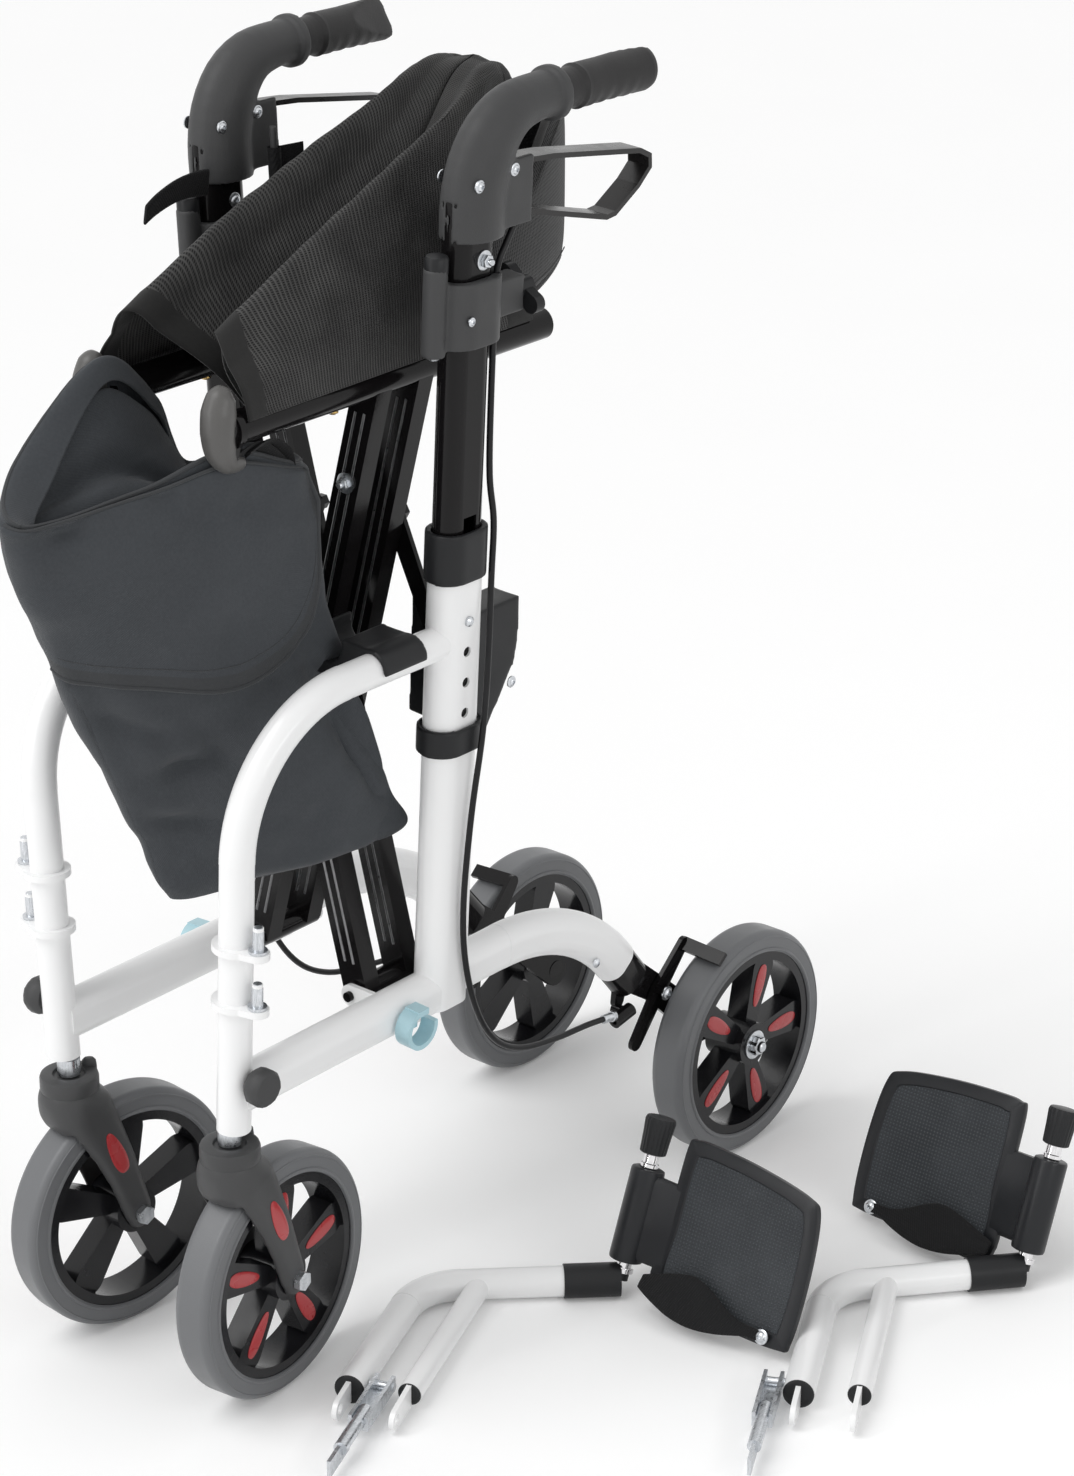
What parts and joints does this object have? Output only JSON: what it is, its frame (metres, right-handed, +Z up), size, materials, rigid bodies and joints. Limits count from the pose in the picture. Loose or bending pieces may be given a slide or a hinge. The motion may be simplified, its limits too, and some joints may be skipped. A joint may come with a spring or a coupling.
{
  "type": "rollator transport chair",
  "caption": "Folding walker on wheels that doubles as a transport chair, half folded, with loop brakes, sling seat, backrest band, under-seat bag and detached swing-away footrests.",
  "frame": {"origin": "bottom centre of the bounding box, on the floor", "axes": "+Z up, -Y to the front of the chair, +X to the seated user's left"},
  "size_m": [0.624, 0.7664, 0.9932],
  "materials": {
    "white_tube": "gloss",
    "black_moulding": "satin",
    "blue_clip": "satin",
    "black_tube": "gloss",
    "grey_moulding": "satin",
    "grip": "matte",
    "lever_strip": "satin",
    "zinc": "zinc plated",
    "cable": "satin",
    "tyre": "matte",
    "rim": "gloss",
    "sling": "woven",
    "backrest": "woven",
    "bag": "woven nylon",
    "footplate": "textured",
    "webbing": "woven"
  },
  "bodies": {
    "left_frame": {"frame_left": "white_tube", "mouldings_left": "black_moulding", "frame_clip_left": "blue_clip", "axle_bracket_left": "black_tube", "brake_cable_left": "cable"},
    "right_frame": {"frame_right": "white_tube", "mouldings_right": "black_moulding", "frame_clip_right": "blue_clip", "axle_bracket_right": "black_tube", "brake_cable_right": "cable"},
    "left_handle": {"height_tube_left": "black_tube", "handle_elbow_left": "grey_moulding", "grip_left": "grip", "backrest_clamp_left": "black_moulding"},
    "left_lever": {"brake_lever_left": "lever_strip"},
    "left_knob": {"wing_knob_left": "black_moulding"},
    "left_button": {"height_button_left": "zinc"},
    "left_brake_arm": {"brake_arm_left": "black_tube"},
    "left_wheel": {"rear_tyre_left": "tyre", "rear_rim_left": "rim"},
    "left_caster": {"caster_fork_left": "grey_moulding", "caster_bolts_left": "zinc"},
    "left_caster_wheel": {"caster_tyre_left": "tyre", "caster_rim_left": "rim"},
    "brace_left": {"seat_brace_left": "black_tube"},
    "left_stay": {"stay_link_left": "black_tube"},
    "sling_outer_left": {"sling_outer_left": "sling"},
    "sling_inner_left": {"sling_inner_left": "sling"},
    "backrest_left": {"backrest_left": "backrest"},
    "bag_left": {"bag_left": "bag"},
    "footrest_left": {"footrest_hanger_left": "white_tube", "footrest_hinge_left": "black_moulding"},
    "plate_left": {"footplate_left": "footplate", "heel_strap_left": "webbing"},
    "latch_left": {"footrest_latch_left": "zinc"},
    "right_handle": {"height_tube_right": "black_tube", "handle_elbow_right": "grey_moulding", "grip_right": "grip", "backrest_clamp_right": "black_moulding"},
    "right_lever": {"brake_lever_right": "lever_strip"},
    "right_knob": {"wing_knob_right": "black_moulding"},
    "right_button": {"height_button_right": "zinc"},
    "right_brake_arm": {"brake_arm_right": "black_tube"},
    "right_wheel": {"rear_tyre_right": "tyre", "rear_rim_right": "rim"},
    "right_caster": {"caster_fork_right": "grey_moulding", "caster_bolts_right": "zinc"},
    "right_caster_wheel": {"caster_tyre_right": "tyre", "caster_rim_right": "rim"},
    "brace_right": {"seat_brace_right": "black_tube"},
    "right_stay": {"stay_link_right": "black_tube"},
    "sling_outer_right": {"sling_outer_right": "sling"},
    "sling_inner_right": {"sling_inner_right": "sling"},
    "backrest_right": {"backrest_right": "backrest"},
    "bag_right": {"bag_right": "bag"},
    "footrest_right": {"footrest_hanger_right": "white_tube", "footrest_hinge_right": "black_moulding"},
    "plate_right": {"footplate_right": "footplate", "heel_strap_right": "webbing"},
    "latch_right": {"footrest_latch_right": "zinc"}
  },
  "joints": [
    {"name": "fold", "type": "hinge", "parent": "left_frame", "child": "brace_left", "pos_m": [-0.09855, -0.0448, 0.285], "axis": [0, -1, 0], "range_deg": [-7.5, 38.77], "deforming": ["sling_outer_left", "sling_outer_right", "sling_inner_left", "sling_inner_right", "backrest_left", "backrest_right", "bag_left", "bag_right"]},
    {"name": "fold_cross", "type": "hinge", "parent": "brace_left", "child": "brace_right", "pos_m": [-0.16255, -0.0448, 0.5285], "axis": [0, -1, 0], "range_deg": [-77.59, 15.05]},
    {"name": "fold_right", "type": "hinge", "parent": "brace_right", "child": "right_frame", "pos_m": [-0.22655, -0.0448, 0.285], "axis": [0, -1, 0], "range_deg": [-7.55, 38.82]},
    {"name": "sling_outer_left", "type": "hinge", "parent": "brace_right", "child": "sling_outer_left", "pos_m": [-0.09855, -0.0448, 0.772], "axis": [0, -1, 0], "range_deg": [-23.12, 119.33]},
    {"name": "sling_inner_left", "type": "hinge", "parent": "sling_outer_left", "child": "sling_inner_left", "pos_m": [-0.11895, -0.2478, 0.8425], "axis": [-0.1224, 0.9294, 0.3482], "range_deg": [-27.83, 143.67]},
    {"name": "stay_left", "type": "hinge", "parent": "left_frame", "child": "left_stay", "pos_m": [-0.07955, -0.0448, 0.5305], "axis": [0, -1, 0], "range_deg": [-14.83, 76.46]},
    {"name": "backrest_left", "type": "hinge", "parent": "left_handle", "child": "backrest_left", "pos_m": [-0.07306, -0.0368, 0.79248], "axis": [0.0523, 0, 0.9986], "range_deg": [-11.71, 60.33]},
    {"name": "sling_outer_right", "type": "hinge", "parent": "brace_left", "child": "sling_outer_right", "pos_m": [-0.22655, -0.0448, 0.772], "axis": [0, -1, 0], "range_deg": [-119.33, 23.12]},
    {"name": "sling_inner_right", "type": "hinge", "parent": "sling_outer_right", "child": "sling_inner_right", "pos_m": [-0.20615, -0.2478, 0.8425], "axis": [0.1224, 0.9294, 0.3482], "range_deg": [-143.67, 27.83]},
    {"name": "stay_right", "type": "hinge", "parent": "right_frame", "child": "right_stay", "pos_m": [-0.24555, -0.0448, 0.5305], "axis": [0, -1, 0], "range_deg": [-76.46, 14.83]},
    {"name": "backrest_right", "type": "hinge", "parent": "right_handle", "child": "backrest_right", "pos_m": [-0.25204, -0.0368, 0.79248], "axis": [-0.0523, 0, 0.9986], "range_deg": [-60.33, 11.71]},
    {"name": "bag_hang", "type": "hinge", "parent": "brace_left", "child": "bag_right", "pos_m": [-0.22655, -0.0448, 0.772], "axis": [0, -1, 0], "range_deg": [-38.82, 7.55]},
    {"name": "bag_spread", "type": "slide", "parent": "bag_right", "child": "bag_left", "axis": [1, 0, 0], "range_m": [-0.054, 0.2772]},
    {"name": "height_left", "type": "slide", "parent": "left_frame", "child": "left_handle", "axis": [0.0523, 0, 0.9986], "range_m": [-0.075, 0], "deforming": ["brake_cable_left"]},
    {"name": "height_right", "type": "slide", "parent": "right_frame", "child": "right_handle", "axis": [-0.0523, 0, 0.9986], "range_m": [-0.075, 0], "deforming": ["brake_cable_right"]},
    {"name": "height_button_left", "type": "slide", "parent": "left_frame", "child": "left_button", "axis": [-0.9986, 0, 0.0523], "range_m": [0, 0.004], "stiffness_N_per_m": 900, "springref_m": -0.002},
    {"name": "brake_lever_left", "type": "hinge", "parent": "left_handle", "child": "left_lever", "pos_m": [-0.03651, -0.0268, 0.91674], "axis": [0.9986, 0, -0.0523], "range_deg": [0, 12], "stiffness_Nm_per_rad": 6, "springref_deg": -5.73},
    {"name": "brake_arm_left", "type": "hinge", "parent": "left_frame", "child": "left_brake_arm", "pos_m": [-0.07586, 0.2092, 0.16577], "axis": [0.9986, 0, -0.0523], "range_deg": [-4.4, 0.05]},
    {"name": "wing_knob_left", "type": "hinge", "parent": "left_handle", "child": "left_knob", "pos_m": [-0.04201, -0.0116, 0.83091], "axis": [0, 1, 0], "continuous": true},
    {"name": "rear_wheel_left", "type": "hinge", "parent": "left_frame", "child": "left_wheel", "pos_m": [-0.04205, 0.2832, 0.1], "axis": [1, 0, 0], "continuous": true},
    {"name": "caster_left", "type": "hinge", "parent": "left_frame", "child": "left_caster", "pos_m": [-0.07655, -0.2988, 0.225], "axis": [0, 0, 1], "range_deg": [-18, 8]},
    {"name": "caster_wheel_left", "type": "hinge", "parent": "left_caster", "child": "left_caster_wheel", "pos_m": [-0.08125, -0.25405, 0.1], "axis": [0.9945, 0.1045, 0], "continuous": true},
    {"name": "height_button_right", "type": "slide", "parent": "right_frame", "child": "right_button", "axis": [0.9986, 0, 0.0523], "range_m": [0, 0.004], "stiffness_N_per_m": 900, "springref_m": -0.002},
    {"name": "brake_lever_right", "type": "hinge", "parent": "right_handle", "child": "right_lever", "pos_m": [-0.28859, -0.0268, 0.91674], "axis": [0.9986, 0, 0.0523], "range_deg": [0, 12], "stiffness_Nm_per_rad": 6, "springref_deg": -5.73},
    {"name": "brake_arm_right", "type": "hinge", "parent": "right_frame", "child": "right_brake_arm", "pos_m": [-0.24924, 0.2092, 0.16577], "axis": [0.9986, 0, 0.0523], "range_deg": [-4.4, 0.05]},
    {"name": "wing_knob_right", "type": "hinge", "parent": "right_handle", "child": "right_knob", "pos_m": [-0.28309, -0.0116, 0.83091], "axis": [0, 1, 0], "continuous": true},
    {"name": "rear_wheel_right", "type": "hinge", "parent": "right_frame", "child": "right_wheel", "pos_m": [-0.28305, 0.2832, 0.1], "axis": [1, 0, 0], "continuous": true},
    {"name": "caster_right", "type": "hinge", "parent": "right_frame", "child": "right_caster", "pos_m": [-0.24855, -0.2988, 0.225], "axis": [0, 0, 1], "range_deg": [-8, 180]},
    {"name": "caster_wheel_right", "type": "hinge", "parent": "right_caster", "child": "right_caster_wheel", "pos_m": [-0.24385, -0.25405, 0.1], "axis": [0.9945, -0.1045, 0], "continuous": true},
    {"name": "footrest_left", "type": "slide", "parent": "left_frame", "child": "footrest_left", "axis": [0, 0, 1], "range_m": [0, 0.2]},
    {"name": "footplate_left", "type": "hinge", "parent": "footrest_left", "child": "plate_left", "pos_m": [0.04305, 0.02008, 0.014], "axis": [0, 0.3746, 0.9272], "range_deg": [-90, 0]},
    {"name": "latch_left", "type": "hinge", "parent": "footrest_left", "child": "latch_left", "pos_m": [0.00291, -0.22013, 0.014], "axis": [-0.9272, -0.3746, 0], "range_deg": [0, 25]},
    {"name": "footrest_right", "type": "slide", "parent": "left_frame", "child": "footrest_right", "axis": [0.342, 0, 0.9397], "range_m": [0, 0.2]},
    {"name": "footplate_right", "type": "hinge", "parent": "footrest_right", "child": "plate_right", "pos_m": [0.28247, 0.24157, 0.014], "axis": [0, 0.3746, 0.9272], "range_deg": [-90, 0]},
    {"name": "latch_right", "type": "hinge", "parent": "footrest_right", "child": "latch_right", "pos_m": [0.22836, -0.02242, 0.014], "axis": [-0.8829, -0.4695, 0], "range_deg": [0, 25]}
  ],
  "couplings": [
    {"joint": "fold_cross", "follows": "fold", "ratio": -2},
    {"joint": "fold_right", "follows": "fold", "ratio": 1},
    {"joint": "sling_outer_left", "follows": "fold", "ratio": 3.0765},
    {"joint": "sling_inner_left", "follows": "fold", "ratio": 3.7043},
    {"joint": "stay_left", "follows": "fold", "ratio": 1.9708},
    {"joint": "backrest_left", "follows": "fold", "ratio": 1.5548},
    {"joint": "sling_outer_right", "follows": "fold", "ratio": -3.0765},
    {"joint": "sling_inner_right", "follows": "fold", "ratio": -3.7043},
    {"joint": "stay_right", "follows": "fold", "ratio": -1.9708},
    {"joint": "backrest_right", "follows": "fold", "ratio": -1.5548},
    {"joint": "bag_hang", "follows": "fold", "ratio": -1},
    {"joint": "bag_spread", "follows": "fold", "m_per_rad": 0.40899},
    {"joint": "height_right", "follows": "height_left", "ratio": 1},
    {"joint": "brake_arm_left", "follows": "brake_lever_left", "ratio": -0.352},
    {"joint": "brake_arm_right", "follows": "brake_lever_right", "ratio": -0.352}
  ]
}
